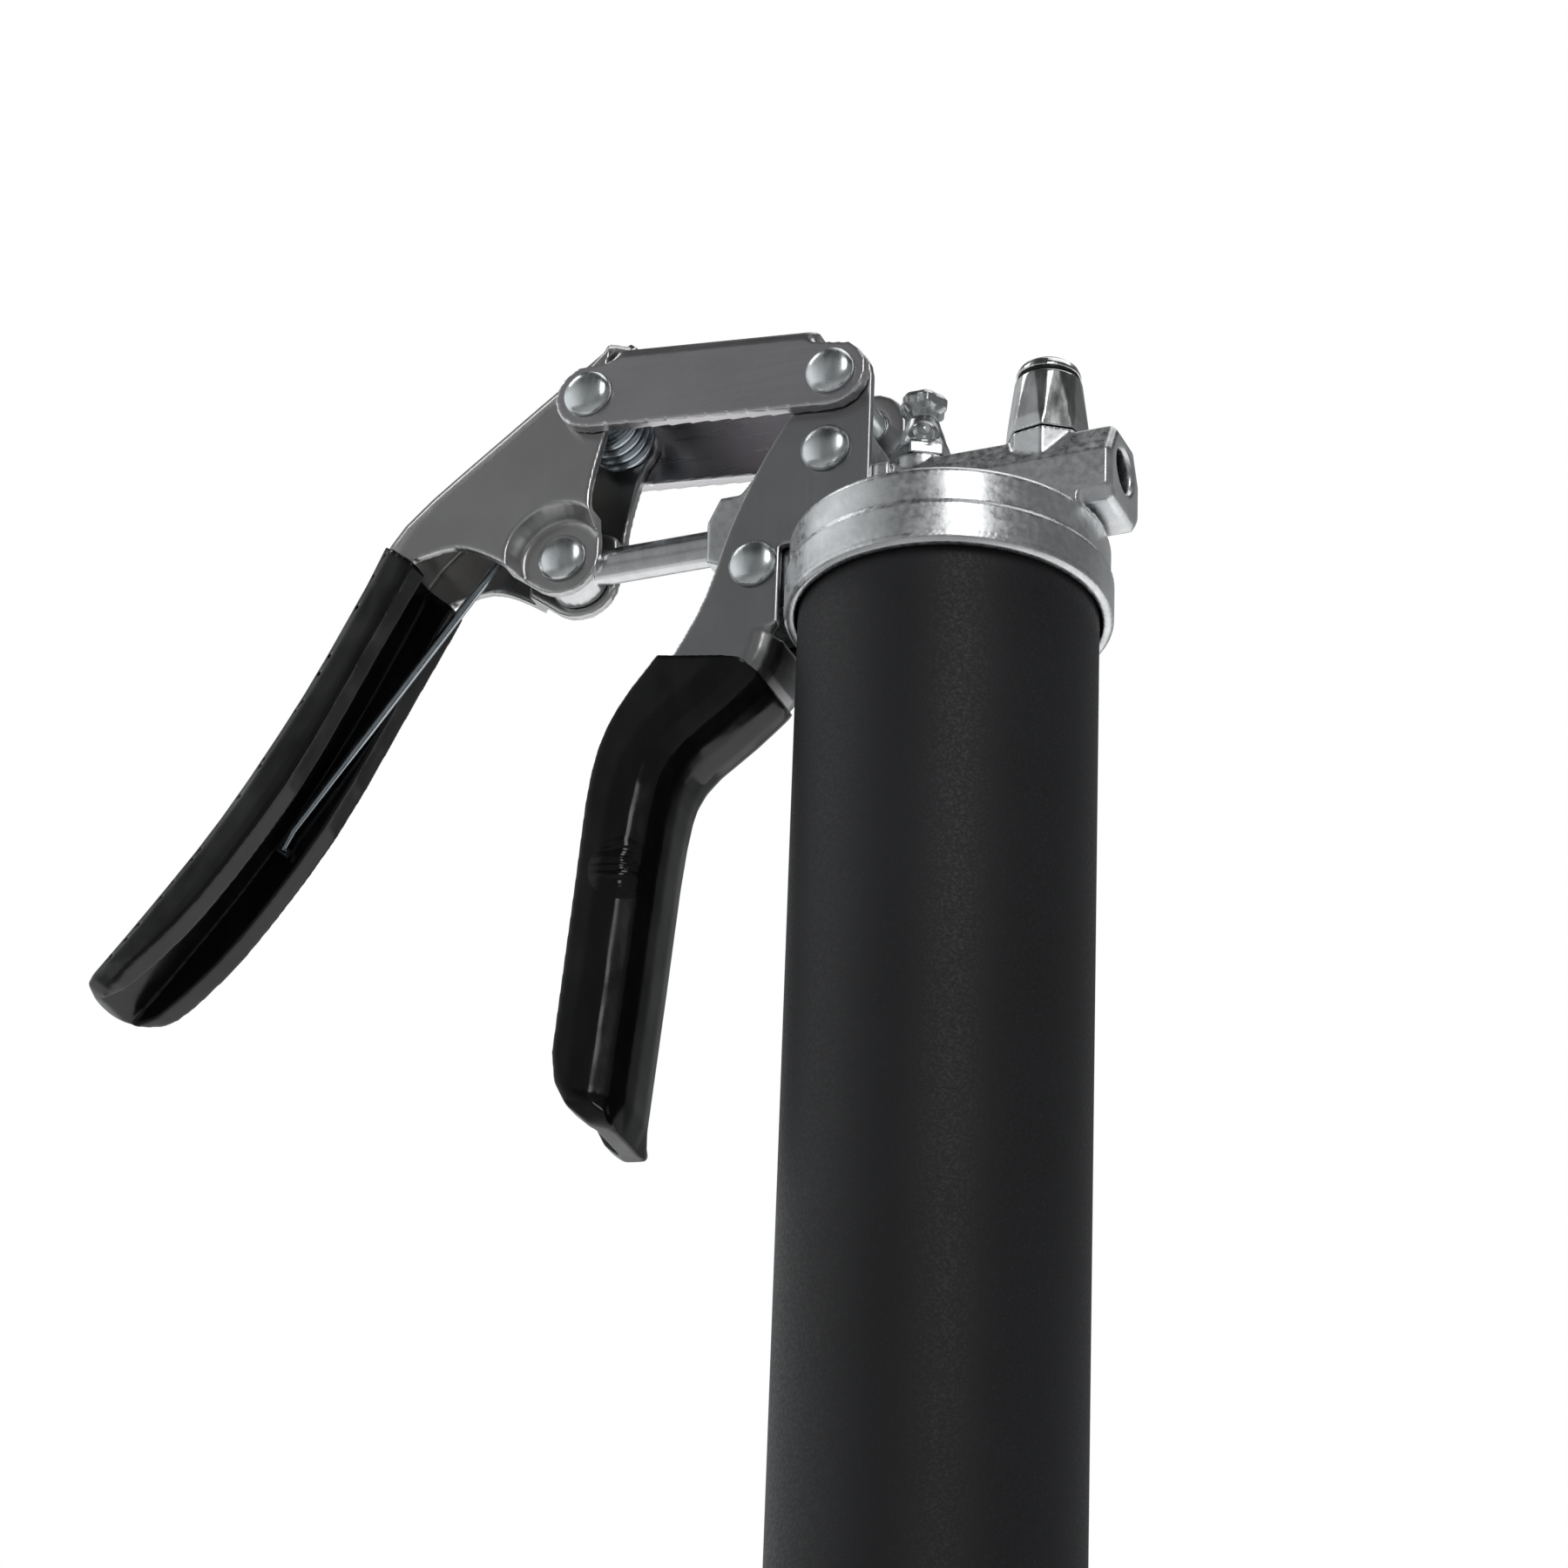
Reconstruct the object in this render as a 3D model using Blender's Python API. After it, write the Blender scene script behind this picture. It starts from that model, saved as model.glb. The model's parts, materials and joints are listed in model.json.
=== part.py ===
"""Pistol-grip grease gun: a barrel hanging from a die-cast head, with a lever handle that drives a plunger.

Metres, +Z up along the barrel, +X towards the outlet. The origin is the middle of the pull handle's foot.
Side outlines are written in millimetres from the barrel's axis and from the head's lower rim, as (x, z).
"""

import math

import bmesh
import bpy
from mathutils import Matrix, Vector

MM = 0.001
GAP = 0.3

# Driving dimensions, in millimetres.
RIM_HEIGHT = 264.0
BARREL_RADIUS = 28.5
BARREL_WALL = 1.5
BARREL_BELOW_RIM = 240.0
BARREL_INTO_HEAD = 11.0
HEAD_RADIUS = 31.2
HEAD_TOP = 16.8
PLUNGER_HEIGHT = 25.6
PLUNGER_RADIUS = 3.5
PLUNGER_TIP_X = -8.0
OUTLET_X = 35.0
OUTLET_HEIGHT = 27.0
OUTLET_BORE = 4.35
SHEET = 2.0
HANDLE_HALF_WIDTH = 10.1
LINK_SHEET = 2.8
LINK_HALF_WIDTH = 13.2
LUG_HALF_WIDTH = HANDLE_HALF_WIDTH - SHEET - GAP
EYE_HALF_WIDTH = 3.4
VINYL = 1.9
COAT = 1.5
RIVET_SHANK = 3.0
RIVET_HEAD = 5.0
RIVET_DOME = 2.3
ROD_RADIUS = 3.5
CAP_FACE = -242.0
FOLLOWER_TOP = 3.0
FOOT_TOP = -252.0
LOCK_TRAVEL = 2.5
TONGUE_POINTS = 3
GRIP_BEND = 9.4
SHEET_BEND = 4.8

# The cuts of these bodies meet in many places, where the default solver fails.
HARD_TO_CUT = (
    "head_casting", "filler_fitting", "lever", "lever_grip", "lever_grip_steel", "fixed_grip",
    "fixed_grip_steel",
)

# Pivots, as (x, z).
LEVER_PIVOT = (-71.1, 57.1)
LINK_PIVOT = (-20.4, 52.3)
PLUNGER_PIVOT = (-78.2, PLUNGER_HEIGHT)
HEAD_RIVETS = ((-22.1, 37.1), (-36.1, 14.1))
FILLER_X = 19.3
FLAT_TURN = 0.244
BLEEDER_X = -6.2
BALL_TURN = 67.0
BALL_RADIUS = 2.9


def material(name, colour, roughness, metallic):
    made = bpy.data.materials.new(name)
    made.use_nodes = True
    shader = made.node_tree.nodes["Principled BSDF"]
    shader.inputs["Base Color"].default_value = (*colour, 1.0)
    shader.inputs["Roughness"].default_value = roughness
    shader.inputs["Metallic"].default_value = metallic
    return made


def world(x, y, z):
    """A point given in millimetres from the barrel's axis and the head's rim, in metres from the origin."""
    return Vector((x, y, z + RIM_HEIGHT)) * MM


def add(name, bm, finish, pivot=(0.0, 0.0, -RIM_HEIGHT), parent=None):
    """A node whose origin is at pivot, which is in the millimetres of world()."""
    bmesh.ops.recalc_face_normals(bm, faces=bm.faces)
    mesh = bpy.data.meshes.new(name)
    bm.to_mesh(mesh)
    bm.free()
    origin = world(*pivot)
    mesh.transform(Matrix.Translation(-origin))
    mesh.shade_smooth()
    mesh.set_sharp_from_angle(angle=math.radians(35))
    mesh.materials.append(finish)
    node = bpy.data.objects.new(name, mesh)
    bpy.context.scene.collection.objects.link(node)
    node.location = origin
    if parent is not None:
        node.parent = parent
        node.location = origin - parent.location
    return node


def helper(name, bm):
    """A hidden body that cuts or joins another."""
    made = add(name, bm, bpy.data.materials["cutter"])
    made.hide_render = True
    made.display_type = "WIRE"
    return made


def boolean(node, operation, name, bm):
    modifier = node.modifiers.new(name, "BOOLEAN")
    modifier.operation = operation
    modifier.solver = "MANIFOLD" if node.name in HARD_TO_CUT else "EXACT"
    modifier.object = helper(node.name + "_" + name, bm)
    return modifier.object


def cut(node, name, bm):
    return boolean(node, "DIFFERENCE", name, bm)


def join(node, name, bm):
    return boolean(node, "UNION", name, bm)


def axis_empty(name, x, z):
    empty = bpy.data.objects.new(name, None)
    bpy.context.scene.collection.objects.link(empty)
    empty.location = world(x, 0.0, z)
    return empty


def loft(sections, bm=None):
    """A closed solid through rings of equal length, each a list of points in millimetres."""
    bm = bm or bmesh.new()
    rings = [[bm.verts.new(world(*point)) for point in section] for section in sections]
    count = len(rings[0])
    for low, high in zip(rings, rings[1:]):
        for i in range(count):
            j = (i + 1) % count
            bm.faces.new((low[i], low[j], high[j], high[i]))
    bm.faces.new(rings[0])
    bm.faces.new(rings[-1])
    return bm


def prism_y(outline, low, high, bm=None):
    return loft([[(x, y, z) for x, z in outline] for y in (low, high)], bm)


def prism_x(outline, low, high, bm=None):
    return loft([[(x, y, z) for y, z in outline] for x in (low, high)], bm)


def turn(profile, segments=40, centre=(0.0, 0.0, 0.0), axis="Z", bm=None, phase=0.5):
    """A turned solid. The profile is a closed outline of (radius, height), or starts and ends on the axis.

    phase turns it by that share of one segment.
    """
    bm = bm or bmesh.new()
    cx, cy, cz = centre
    rows = []
    for radius, height in profile:
        count = segments if radius > 0 else 1
        row = []
        for i in range(count):
            angle = 2 * math.pi * (i + phase) / segments
            a = radius * math.cos(angle)
            b = radius * math.sin(angle)
            if axis == "Z":
                point = (cx + a, cy + b, cz + height)
            elif axis == "Y":
                point = (cx + a, cy + height, cz + b)
            else:
                point = (cx + height, cy + a, cz + b)
            row.append(bm.verts.new(world(*point)))
        rows.append(row)
    pairs = list(zip(rows, rows[1:]))
    if len(rows[0]) > 1:
        pairs.append((rows[-1], rows[0]))
    for low, high in pairs:
        for i in range(segments):
            j = (i + 1) % segments
            corners = [low[i % len(low)], low[j % len(low)], high[j % len(high)], high[i % len(high)]]
            face = list(dict.fromkeys(corners))
            if len(face) > 2:
                bm.faces.new(face)
    return bm


def rod(radius, low, high, centre=(0.0, 0.0, 0.0), axis="Z", segments=24, bm=None):
    profile = [(0.0, low), (radius, low), (radius, high), (0.0, high)]
    return turn(profile, segments, centre, axis, bm)


def ring(inner, outer, low, high, centre=(0.0, 0.0, 0.0), axis="Z", segments=24, bm=None):
    profile = [(inner, low), (outer, low), (outer, high), (inner, high)]
    return turn(profile, segments, centre, axis, bm)


def arc(centre, radius, start, end, steps):
    """Points of an arc, with its angles in degrees from +X towards +Z."""
    points = []
    for i in range(steps + 1):
        angle = math.radians(start + (end - start) * i / steps)
        points.append((centre[0] + radius * math.cos(angle), centre[1] + radius * math.sin(angle)))
    return points


def through(points, steps=3):
    """A smooth curve through control points."""
    ends = [points[0], *points, points[-1]]
    curve = []
    for p0, p1, p2, p3 in zip(ends, ends[1:], ends[2:], ends[3:]):
        for i in range(steps):
            t = i / steps
            weights = (-t + 2 * t**2 - t**3, 2 - 5 * t**2 + 3 * t**3, t + 4 * t**2 - 3 * t**3, t**3 - t**2)
            corners = zip(weights, (p0, p1, p2, p3))
            x, z = (sum(pair) / 2 for pair in zip(*[(w * p[0], w * p[1]) for w, p in corners]))
            curve.append((x, z))
    return [*curve, points[-1]]


def shifted(line, distance):
    """An open line moved sideways, to the left of its direction."""
    moved = []
    for i, (x, z) in enumerate(line):
        ax, az = line[max(i - 1, 0)]
        bx, bz = line[min(i + 1, len(line) - 1)]
        length = math.hypot(bx - ax, bz - az)
        moved.append((x - distance * (bz - az) / length, z + distance * (bx - ax) / length))
    return moved


def coil(path, wire, sides, bm=None):
    """A round wire along a path, with its ends closed."""
    points = [Vector(point) for point in path]
    normal = Vector((0.0, 1.0, 0.3))
    sections = []
    for i, point in enumerate(points):
        along = (points[min(i + 1, len(points) - 1)] - points[max(i - 1, 0)]).normalized()
        normal = (normal - along * normal.dot(along)).normalized()
        side = along.cross(normal)
        section = []
        for k in range(sides):
            angle = 2 * math.pi * k / sides
            section.append(tuple(point + wire * (normal * math.cos(angle) + side * math.sin(angle))))
        sections.append(section)
    return loft(sections, bm)


def rivet(pivot, reach, bm=None):
    """A rivet across the sheets, with a domed head at each end."""
    profile = [(0.0, -reach - RIVET_DOME)]
    for angle in (30, 60, 90):
        a = math.radians(angle)
        profile.append((RIVET_HEAD * math.sin(a), -reach - RIVET_DOME * math.cos(a)))
    profile += [(RIVET_SHANK, -reach), (RIVET_SHANK, reach)]
    for angle in (90, 60, 30):
        a = math.radians(angle)
        profile.append((RIVET_HEAD * math.sin(a), reach + RIVET_DOME * math.cos(a)))
    profile.append((0.0, reach + RIVET_DOME))
    return turn(profile, 18, (pivot[0], 0.0, pivot[1]), "Y", bm)


def pin_holes(node, pivots):
    for number, pivot in enumerate(pivots):
        cutter = rod(RIVET_SHANK + GAP, -20.0, 20.0, (pivot[0], 0.0, pivot[1]), "Y", 18)
        cut(node, "pin_hole_%d" % number, cutter)


def grown(outline, distance):
    """A closed outline moved outwards, corner by corner."""
    moved = []
    count = len(outline)
    area = sum(outline[i - 1][0] * outline[i][1] - outline[i][0] * outline[i - 1][1] for i in range(count))
    sign = 1.0 if area > 0 else -1.0
    for i, (x, z) in enumerate(outline):
        before = Vector(outline[i]) - Vector(outline[i - 1])
        after = Vector(outline[(i + 1) % count]) - Vector(outline[i])
        before.normalize()
        after.normalize()
        bisector = before + after
        bisector.normalize()
        normal = Vector((bisector.y, -bisector.x)) * sign
        stretch = 1.0 / max(bisector.dot(after), 0.5)
        moved.append((x + normal.x * distance * stretch, z + normal.y * distance * stretch))
    return moved


def sheet_block(outline, first, last, half_width, radius):
    """A solid side outline whose edge from point first to point last is rounded, like a bent sheet."""
    inward = grown(outline, -1.0)
    layers = []
    for degrees in (90, 65, 42, 20, 0):
        angle = math.radians(degrees)
        inset = radius * (1 - math.cos(angle))
        section = []
        for i, (x, z) in enumerate(outline):
            part = inset if first <= i <= last else 0.0
            section.append((x + (inward[i][0] - x) * part, z + (inward[i][1] - z) * part))
        layers.append((half_width - radius + radius * math.sin(angle), section))
    sections = [[(x, -y, z) for x, z in section] for y, section in layers]
    sections += [[(x, y, z) for x, z in section] for y, section in reversed(layers)]
    bm = loft(sections)
    bmesh.ops.triangulate(bm, faces=[face for face in bm.faces if len(face.verts) == 4])
    return bm


def plan_cutter(origin, along, points, depth):
    """A prism square to a sheet's side outline: points are (distance along the sheet, y)."""
    across = Vector((-along.y, along.x))
    sections = []
    for side in (-depth, depth):
        section = []
        for distance, y in points:
            spot = origin + along * distance + across * side
            section.append((spot.x, y, spot.y))
        sections.append(section)
    return loft(sections)


def run_out(web):
    """The direction in which a handle's web ends."""
    return (Vector(web[-1]) - Vector(web[-2])).normalized()


def round_end(node, outline, along, half_width, length, width):
    """Rounds both corners of a handle's end, seen square to its web, over that length and width."""
    origin = max((Vector(point) for point in outline), key=lambda point: point.dot(along))
    clear = 4.0
    side_at = half_width + 0.1
    for side in (-1, 1):
        points = []
        for degrees in range(0, 91, 15):
            angle = math.radians(degrees)
            y = side_at - width + width * math.cos(angle)
            points.append((length * (math.sin(angle) - 1.0), side * y))
        points.append((clear, side * (side_at - width)))
        points.append((clear, side * (side_at + clear)))
        points.append((-length, side * (side_at + clear)))
        cut(node, "end_%d" % side, plan_cutter(origin, along, points, 30.0))


# Side outlines of the two handles. Each runs down the web first, then round the tip and up the open side.

def fixed_web():
    points = [(-30.9, -0.6), (-33.2, -8.0), (-41.5, -15.6), (-51.5, -23.8), (-55.3, -36.0)]
    return through([*points, (-58.2, -66.0), (-60.8, -94.0)])


def fixed_open_side():
    points = [(-70.1, -84.5), (-67.3, -50.0), (-65.2, -27.0), (-60.8, -14.5), (-51.9, -2.5)]
    return through([*points, (-45.7, 9.3), (-41.5, 23.0), (-34.8, 37.8), (-28.2, 48.6)])


def fixed_tip():
    return [(-62.0, -97.6), (-64.4, -97.0), (-67.2, -94.4), (-69.4, -90.0)]


def fixed_outline():
    top = arc(LINK_PIVOT, 7.3, 150, 0, 8)
    return [*fixed_web(), *fixed_tip(), *fixed_open_side(), *top, (-13.1, 17.6), (-30.9, 17.6), (-30.9, 0.8)]


def lever_web():
    points = [(-67.0, 74.0), (-71.1, 70.6), (-92.0, 54.7), (-112.0, 38.4), (-119.0, 25.5)]
    return through([*points, (-131.0, 3.0), (-146.5, -21.0), (-161.0, -39.0), (-172.0, -51.6)])


def lever_tip():
    return [(-171.6, -53.0), (-169.6, -53.9), (-165.6, -52.9)]


def lever_open_side():
    grip = through([(-160.5, -49.2), (-149.5, -38.8), (-133.0, -17.0), (-118.5, 9.5), (-108.2, 28.6)])
    belly = through([(-108.2, 28.6), (-99.5, 29.7), (-91.8, 26.2), (-82.6, 19.4)])
    lobe = arc(PLUNGER_PIVOT, 7.6, -110, 0, 6)
    throat = through([(-70.6, 29.0), (-71.2, 37.7), (-68.6, 50.0)])
    top = arc(LEVER_PIVOT, 5.6, -50, 60, 5)
    return [*grip, *belly[1:], *lobe, *throat, *top, (-69.6, 68.6)]


def lever_outline():
    return [*lever_web(), *lever_tip(), *lever_open_side(), (-65.3, 72.5)]


def lever_hollow(web_depth):
    """The inside of the lever's channel, to web_depth from its outer face."""
    inner = shifted(lever_web(), web_depth)
    inner[0] = (inner[0][0] + 8.0, inner[0][1] + 6.0)
    beyond = Vector(inner[-1]) - Vector(inner[-2])
    tail = Vector(inner[-1]) + beyond.normalized() * 12.0
    return [*inner, tuple(tail), (-120.0, -80.0), (-20.0, -20.0), (-20.0, 80.0)]


def fixed_hollow(web_depth, top):
    """The inside of the fixed handle's channel, which is open on both sides above top."""
    inner = shifted(fixed_web(), -web_depth)
    inner[0] = (inner[0][0], top)
    beyond = Vector(inner[-1]) - Vector(inner[-2])
    tail = Vector(inner[-1]) + beyond.normalized() * 12.0
    return [(5.0, top), *inner, tuple(tail), (-100.0, -112.0), (-100.0, 75.0), (5.0, 75.0)]


# Head.

def head_casting(finish):
    profile = [
        (28.95, 0.0), (30.4, 0.0), (HEAD_RADIUS, 0.8), (HEAD_RADIUS, 1.7), (30.8, 1.9), (HEAD_RADIUS, 2.2),
        (HEAD_RADIUS, 8.6), (30.5, 8.8), (30.5, 15.6), (29.9, 16.5), (28.8, HEAD_TOP), (0.0, HEAD_TOP),
        (0.0, 13.6), (24.0, 13.6), (24.0, 13.2), (28.95, 13.2),
    ]
    profile = [profile[11], *reversed(profile[:11]), *reversed(profile[12:])]
    node = add("head_casting", turn(profile, 64), finish)
    join(node, "bridge", head_bridge())
    join(node, "lug", head_lug())
    join(node, "saddle", prism_x([(8.5, 15.0), (8.5, 20.0), (-8.5, 20.0), (-8.5, 15.0)], -12.6, 28.4))
    pad = [(0.0, HEAD_TOP - 1.5), (8.15, HEAD_TOP - 1.5), (8.15, 35.4), (0.0, 35.4)]
    join(node, "filler_pad", turn(pad, 8, (FILLER_X, 0.0, 0.0), phase=FLAT_TURN))
    join(node, "bleeder_pad", rod(6.4, HEAD_TOP - 1.5, 35.4, (BLEEDER_X, 0.0, 0.0), "Z", 24))
    head_bores(node)
    pin_holes(node, HEAD_RIVETS)
    return node


def head_bridge():
    """The ridge that holds the pump bore and ends in the outlet's eight-sided boss."""
    half = [(5.0, 8.8), (8.5, 2.0), (8.5, -6.0), (6.5, -8.4)]
    section = [(y, z) for y, z in half] + [(-y, z) for y, z in reversed(half)]
    stations = ((-12.6, 1.0), (OUTLET_X - 1.0, 1.0), (OUTLET_X, 0.87))
    rings = []
    for x, scale in stations:
        rings.append([(x, y * scale, PLUNGER_HEIGHT + z * scale) for y, z in section])
    return loft(rings)


def head_lug():
    """The flat ear between the fixed handle's sheets, with the gland at its outer end."""
    gland = [(-47.2, 18.0), (-47.2, 26.5), (-44.6, 31.8), (-40.4, 31.8)]
    back = [(-34.0, 40.0), (-27.0, 44.6), (-19.0, 44.6), (-14.2, 41.0), (-14.2, 33.5), (-10.0, 33.5)]
    foot = [(-10.0, 15.2), (-29.4, 15.2), (-29.4, 5.0), (-40.0, 5.0), (-43.4, 16.2)]
    return prism_y([*gland, *back, *foot], -LUG_HALF_WIDTH, LUG_HALF_WIDTH)


def head_bores(node):
    middle = (0.0, 0.0, PLUNGER_HEIGHT)
    cut(node, "plunger_bore", rod(PLUNGER_RADIUS + 0.25, -60.0, 11.0, middle, "X", 20))
    cut(node, "seal_pocket", rod(5.6, -60.0, -41.6, middle, "X", 20))
    outlet = (0.0, 0.0, OUTLET_HEIGHT)
    cut(node, "throat", rod(2.0, 5.0, 20.0, outlet, "X", 20))
    cut(node, "outlet_bore", rod(OUTLET_BORE, 13.0, 45.0, outlet, "X", 24))
    mouth = [(0.0, OUTLET_X - 0.7), (OUTLET_BORE, OUTLET_X - 0.7), (OUTLET_BORE + 1.2, OUTLET_X + 0.5)]
    cut(node, "outlet_mouth", turn([*mouth, (0.0, OUTLET_X + 0.5)], 24, outlet, "X"))
    cut(node, "grease_inlet", rod(3.0, 5.0, PLUNGER_HEIGHT, (-1.5, 0.0, 0.0), "Z", 20))
    cut(node, "filler_hole", rod(4.3, 31.4, 50.0, (FILLER_X, 0.0, 0.0), "Z", 20))
    cut(node, "bleeder_hole", rod(3.3, 31.4, 50.0, (BLEEDER_X, 0.0, 0.0), "Z", 20))


def fixed_handle(finish):
    outline = fixed_outline()
    last = len(fixed_web()) - 1
    node = add("fixed_handle", sheet_block(outline, 0, last, HANDLE_HALF_WIDTH, SHEET_BEND), finish)
    inside = HANDLE_HALF_WIDTH - SHEET
    cut(node, "channel", prism_y(fixed_hollow(SHEET, -1.2), -inside, inside))
    pin_holes(node, [*HEAD_RIVETS, LINK_PIVOT])
    round_end(node, outline, run_out(fixed_web()), HANDLE_HALF_WIDTH, 5.0, 5.0)
    return node


def grip_above(points):
    """A wedge over the whole width, which trims a grip along its upper edge."""
    return prism_y(points, -30.0, 30.0)


def fixed_grip(finish):
    outline = grown(fixed_outline(), VINYL)
    last = len(fixed_web()) - 1
    half = HANDLE_HALF_WIDTH + VINYL
    node = add("fixed_grip", sheet_block(outline, 0, last, half, GRIP_BEND), finish)
    lip = [(-62.0, -1.5), (-52.0, -3.6), (-38.0, -6.0), (-34.6, -8.6), (-32.6, -13.0), (-10.0, -30.0)]
    cut(node, "lip", grip_above([*lip, (-10.0, 80.0), (-110.0, 80.0), (-110.0, -1.5)]))
    round_end(node, outline, run_out(fixed_web()), half, 6.0, 6.0)
    room = fixed_hollow(SHEET + GAP, 60.0)
    sheet_room(node, fixed_outline(), last, room, fixed_hollow(SHEET + GAP + COAT, 60.0))
    round_end(bpy.data.objects["fixed_grip_steel"], grown(fixed_outline(), GAP), run_out(fixed_web()),
              HANDLE_HALF_WIDTH + GAP, 5.0, 5.0)
    return node


def sheet_room(node, outline, last, core, channel):
    """Leaves the grip as a skin on both faces of the sheet, with a slot that the sheet fills."""
    steel = sheet_block(grown(outline, GAP), TONGUE_POINTS, last, HANDLE_HALF_WIDTH + GAP, SHEET_BEND)
    slot = cut(node, "steel", steel)
    inside = HANDLE_HALF_WIDTH - SHEET - GAP
    cut(slot, "core", prism_y(core, -inside, inside))
    inside -= COAT
    cut(node, "channel", prism_y(channel, -inside, inside))


def head_rivets(finish):
    for name, pivot in zip(("head_rivet_upper", "head_rivet_lower"), HEAD_RIVETS):
        add(name, rivet(pivot, HANDLE_HALF_WIDTH + GAP), finish, (pivot[0], 0.0, pivot[1]))


def gland(steel, rubber):
    middle = (0.0, 0.0, PLUNGER_HEIGHT)
    bore = PLUNGER_RADIUS + 0.25
    add("plunger_seal", ring(bore, 5.3, -44.6, -41.9, middle, "X", 20), rubber)
    add("seal_retainer", ring(bore, 5.3, -47.0, -44.9, middle, "X", 20), steel)


def check_valve(steel, parent):
    """A ball on a seat inside the outlet, held by a light spring and a threaded retainer."""
    radius = 3.4
    seat = 13.0
    centre_x = seat + math.sqrt(radius**2 - 2.0**2) + GAP
    profile = [(0.0, -radius)]
    for angle in range(30, 180, 30):
        a = math.radians(angle)
        profile.append((radius * math.sin(a), -radius * math.cos(a)))
    profile.append((0.0, radius))
    middle = (centre_x, 0.0, OUTLET_HEIGHT)
    add("check_ball", turn(profile, 16, middle, "X"), steel, middle, parent)
    start = centre_x + radius + 1.9
    end = 27.2
    path = []
    for i in range(29):
        angle = 2 * math.pi * i / 7
        x = start + (end - start) * i / 28
        path.append((x, 2.9 * math.cos(angle), OUTLET_HEIGHT + 2.9 * math.sin(angle)))
    add("check_spring", coil(path, 0.35, 4), steel)
    outlet = (0.0, 0.0, OUTLET_HEIGHT)
    add("check_retainer", ring(1.8, OUTLET_BORE - GAP, 27.9, 29.4, outlet, "X", 20), steel)


def filler_fitting(steel, rubber, parent):
    """The nipple for bulk filling: an eight-sided body with a long taper, a round nose and a poppet."""
    middle = (FILLER_X, 0.0, 0.0)
    base = 35.7
    top = 49.0
    flats = [(0.0, base), (8.15, base), (8.05, 38.5), (6.95, top), (0.0, top)]
    node = add("filler_fitting", turn(flats, 8, middle, phase=FLAT_TURN), steel)
    taper = [(0.0, base - 1.0), (8.3, base - 1.0), (7.85, 38.5), (6.5, top - GAP), (6.1, top + 0.2)]
    boolean(node, "INTERSECT", "taper", turn([*taper, (0.0, top + 0.2)], 32, middle))
    stem = [(0.0, 31.8), (4.0, 31.8), (4.0, 40.0), (5.5, 48.0), (5.5, 49.9)]
    dome = [(6.3, 50.0), (6.2, 50.7), (5.7, 51.8), (4.7, 52.6), (3.4, 53.1), (0.0, 53.2)]
    join(node, "nose", turn([*stem, *dome], 32, middle))
    cut(node, "way", rod(2.2, 46.0, 60.0, middle, "Z", 16))
    cut(node, "lower_way", rod(1.6, 20.0, 50.0, middle, "Z", 16))
    add("filler_seal", ring(5.75, 6.1, 49.4, 49.7, middle, "Z", 32), rubber)
    pin = [(0.0, 48.0), (1.9, 48.0), (1.9, 53.2), (1.3, 53.7), (0.0, 53.8)]
    add("filler_poppet", turn(pin, 16, middle), steel, (FILLER_X, 0.0, 50.0), parent)


def bleed_valve(steel, parent):
    """The air bleeder: a bell-shaped body with a ball in its side and a lobed thumb cap."""
    middle = (BLEEDER_X, 0.0, 0.0)
    base = 35.7
    top = 45.3
    body = turn([(0.0, base), (6.3, base), (6.3, 38.2), (0.0, 38.2)], 6, middle)
    node = add("bleed_body", body, steel)
    foot = [(0.0, 31.8), (3.0, 31.8), (3.0, 37.0), (5.6, 37.6), (5.3, 38.9)]
    bell = [(4.7, 40.4), (4.2, 42.2), (3.6, 43.9), (3.2, top), (0.0, top)]
    join(node, "bell", turn([*foot, *bell], 28, middle))
    seat = (BLEEDER_X, 0.0, 40.8)
    ball = [(0.0, 3.4 - BALL_RADIUS)]
    for degrees in range(-60, 61, 20):
        angle = math.radians(degrees)
        ball.append((BALL_RADIUS * math.cos(angle), 3.4 + BALL_RADIUS * math.sin(angle)))
    ball.append((0.0, 3.4 + BALL_RADIUS))
    join(node, "ball", swung(turn(ball, 20, seat, "X"), -BALL_TURN))
    cut(node, "way", rod(1.6, 20.0, 60.0, middle, "Z", 16))
    cap = add("bleed_cap", thumb_cap(middle, top + GAP), steel, (BLEEDER_X, 0.0, 48.0), parent)
    join(cap, "stem", rod(1.3, 42.5, 48.0, middle, "Z", 12))


def swung(bm, degrees):
    """Turns a body about the bleeder's upright axis."""
    matrix = Matrix.Rotation(math.radians(degrees), 3, "Z")
    bmesh.ops.rotate(bm, cent=world(BLEEDER_X, 0.0, 0.0), matrix=matrix, verts=bm.verts)
    return bm


def thumb_cap(middle, low):
    """A cap with six rounded lobes, waisted under its rim."""
    steps = ((0.0, 2.9, 0.1), (1.5, 3.4, 0.3), (2.4, 4.75, 0.9), (4.1, 4.9, 0.9), (5.3, 4.0, 0.4))
    rings = []
    for rise, radius, lobe in steps:
        section = []
        for i in range(36):
            angle = 2 * math.pi * i / 36
            r = radius + lobe * (math.cos(6 * angle) - 1) / 2
            section.append((middle[0] + r * math.cos(angle), r * math.sin(angle), low + rise))
        rings.append(section)
    return loft(rings)


# Barrel, follower and pull handle.

def barrel(paint, steel, rubber, parent):
    inner = BARREL_RADIUS - BARREL_WALL
    add("head_gasket", ring(24.3, 28.4, 11.5, 12.9, segments=24), rubber)
    tube = ring(inner, BARREL_RADIUS, -BARREL_BELOW_RIM, BARREL_INTO_HEAD, segments=48)
    add("barrel_tube", tube, paint, parent=parent)
    end_cap(steel, parent)
    add("rod_bush", ring(ROD_RADIUS + 0.25, 6.2, CAP_FACE + 2.1, CAP_FACE + 7.0), steel, parent=parent)


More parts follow.
